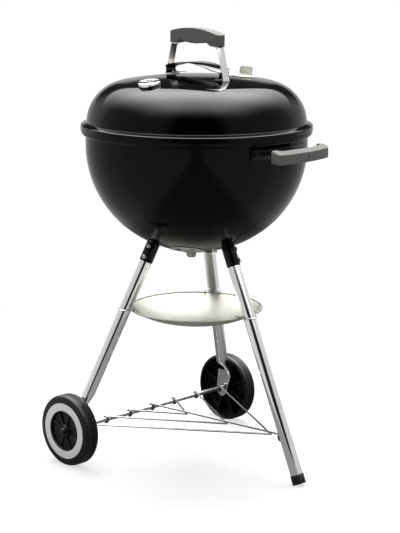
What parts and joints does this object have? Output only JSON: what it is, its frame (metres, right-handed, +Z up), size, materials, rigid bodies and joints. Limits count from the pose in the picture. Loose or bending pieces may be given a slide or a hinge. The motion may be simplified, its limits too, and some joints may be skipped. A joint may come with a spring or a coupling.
{
  "type": "kettle charcoal grill",
  "caption": "Round charcoal grill with a lidded kettle bowl on three tube legs, two wheels, an ash pan, a wire rack, grates, dampers and a lid thermometer.",
  "frame": {"origin": "on the floor, under the middle of the whole grill's bounding box", "axes": "+Z up, +X towards the single foot leg and the side handle, Y along the wheels' axle"},
  "size_m": [0.5578, 0.531, 0.921],
  "materials": {
    "black_enamel": "glossy porcelain enamel",
    "bright_metal": "bright plated steel and polished aluminium",
    "aluminium_sheet": "satin rolled aluminium",
    "zinc_steel": "zinc plated steel",
    "dark_steel": "dull dark steel sheet",
    "grate_steel": "plated steel wire",
    "charcoal_grate_steel": "bare steel wire",
    "grey_nylon": "glass filled nylon, fine grain",
    "black_plastic": "moulded, semi matte",
    "socket_black": "satin enamel",
    "pale_band": "smooth",
    "dial_white": "matt",
    "clear_lens": "clear",
    "needle_red": "satin"
  },
  "bodies": {
    "stand": {"bowl": "black_enamel", "cooking_grate_tabs": "black_enamel", "charcoal_grate_tabs": "black_enamel", "foot_leg_socket": "socket_black", "left_leg_socket": "socket_black", "right_leg_socket": "socket_black", "foot_leg": "bright_metal", "left_wheel_leg": "bright_metal", "right_wheel_leg": "bright_metal", "leg_screws": "zinc_steel", "foot_cap": "black_plastic", "axle": "zinc_steel", "axle_caps": "black_plastic", "rack_outer_wire": "grate_steel", "rack_middle_wire": "grate_steel", "rack_inner_wire": "grate_steel", "rack_spine_wire": "grate_steel", "rack_screw": "zinc_steel", "ash_pan": "aluminium_sheet", "foot_pan_clip": "zinc_steel", "left_pan_clip": "zinc_steel", "right_pan_clip": "zinc_steel", "side_handle_bracket": "socket_black", "side_handle": "grey_nylon", "side_handle_screws": "zinc_steel", "bowl_damper_rivets": "dark_steel"},
    "lid": {"lid": "black_enamel", "lid_damper_rivet": "bright_metal", "right_handle_strap": "bright_metal", "left_handle_strap": "bright_metal", "lid_grip": "grey_nylon", "heat_shield": "bright_metal", "grip_screws": "zinc_steel", "strap_bolts": "bright_metal", "strap_nuts": "zinc_steel", "thermometer_bezel": "bright_metal", "thermometer_dial": "dial_white", "thermometer_lens": "clear_lens", "thermometer_stem": "zinc_steel", "thermometer_nut": "zinc_steel"},
    "lid_damper": {"lid_damper": "aluminium_sheet"},
    "thermometer_needle": {"thermometer_needle": "needle_red"},
    "front_damper": {"front_damper": "dark_steel"},
    "back_damper": {"back_damper": "dark_steel"},
    "wheel_side_damper": {"wheel_side_damper": "dark_steel"},
    "cooking_grate": {"cooking_grate_frame": "grate_steel", "cooking_grate_wires": "grate_steel", "cooking_grate_handles": "grate_steel"},
    "charcoal_grate": {"charcoal_grate_frame": "charcoal_grate_steel", "charcoal_grate_wires": "charcoal_grate_steel"},
    "left_wheel": {"left_wheel": "black_plastic", "left_wheel_band": "pale_band"},
    "right_wheel": {"right_wheel": "black_plastic", "right_wheel_band": "pale_band"}
  },
  "joints": [
    {"name": "lid_lift", "type": "slide", "parent": "stand", "child": "lid", "axis": [0, 0, 1], "range_m": [0, 0.35]},
    {"name": "lid_damper_turn", "type": "hinge", "parent": "lid", "child": "lid_damper", "pos_m": [0.00139, 0.08745, 0.81848], "axis": [0.0391, 0.0921, 0.995], "range_deg": [0, 45]},
    {"name": "needle_turn", "type": "hinge", "parent": "lid", "child": "thermometer_needle", "pos_m": [-0.02412, -0.14754, 0.81164], "axis": [0.0122, -0.1553, 0.9878], "range_deg": [-270, 0]},
    {"name": "front_damper_turn", "type": "hinge", "parent": "stand", "child": "front_damper", "pos_m": [0.00327, -0.06755, 0.46483], "axis": [0.1632, -0.2826, -0.9452], "range_deg": [0, 45]},
    {"name": "back_damper_turn", "type": "hinge", "parent": "stand", "child": "back_damper", "pos_m": [0.00327, 0.06755, 0.46483], "axis": [0.1632, 0.2826, -0.9452], "range_deg": [0, 45]},
    {"name": "wheel_side_damper_turn", "type": "hinge", "parent": "stand", "child": "wheel_side_damper", "pos_m": [-0.11373, 0, 0.46483], "axis": [-0.3264, 0, -0.9452], "range_deg": [0, 45]},
    {"name": "cooking_grate_lift", "type": "slide", "parent": "stand", "child": "cooking_grate", "axis": [0, 0, 1], "range_m": [0, 0.018]},
    {"name": "charcoal_grate_lift", "type": "slide", "parent": "stand", "child": "charcoal_grate", "axis": [0, 0, 1], "range_m": [0, 0.06]},
    {"name": "left_wheel_spin", "type": "hinge", "parent": "stand", "child": "left_wheel", "pos_m": [-0.17273, -0.2432, 0.0762], "axis": [0, 1, 0], "continuous": true},
    {"name": "right_wheel_spin", "type": "hinge", "parent": "stand", "child": "right_wheel", "pos_m": [-0.17273, 0.2432, 0.0762], "axis": [0, 1, 0], "continuous": true}
  ]
}
